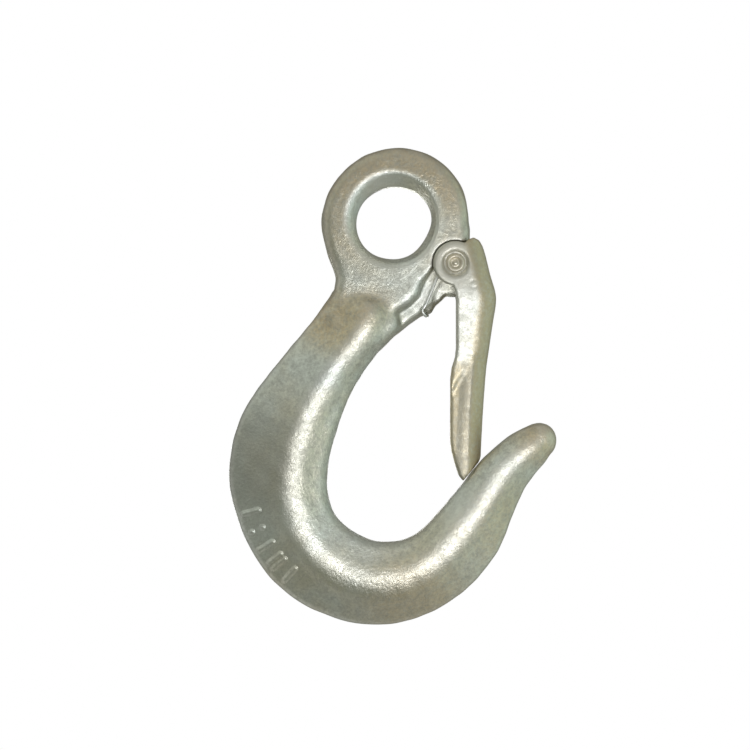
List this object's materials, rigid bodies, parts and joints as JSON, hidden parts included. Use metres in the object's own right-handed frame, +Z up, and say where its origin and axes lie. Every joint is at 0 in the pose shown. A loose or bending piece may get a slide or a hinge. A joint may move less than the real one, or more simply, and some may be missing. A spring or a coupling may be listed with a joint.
{
  "type": "eye hook with latch",
  "caption": "Forged eye sling hook with a flat eye, deep rounded bowl and a sprung pressed-steel latch that closes the throat.",
  "frame": {"origin": "centre of the eye, on the forging's parting plane", "axes": "+Z up from bowl to eye as the hook hangs, +X from the hook's back towards the latch, -Y towards the front face"},
  "size_m": [0.1304, 0.026, 0.1901],
  "materials": {
    "forged_zinc": "satin zinc plate over a forged surface",
    "pressed_zinc": "smooth zinc plate over pressed sheet",
    "rivet_zinc": "smooth zinc plate",
    "spring_wire": "bright drawn wire"
  },
  "bodies": {
    "hook": {"hook_body": "forged_zinc", "latch_rivet": "rivet_zinc", "latch_spring": "spring_wire"},
    "latch": {"latch": "pressed_zinc"}
  },
  "joints": [
    {"name": "latch_swing", "type": "hinge", "parent": "hook", "child": "latch", "pos_m": [0.024, 0, -0.0169], "axis": [0, 1, 0], "range_deg": [0, 35], "stiffness_Nm_per_rad": 0.15, "springref_deg": -68.75, "deforming": ["latch_spring"]}
  ]
}
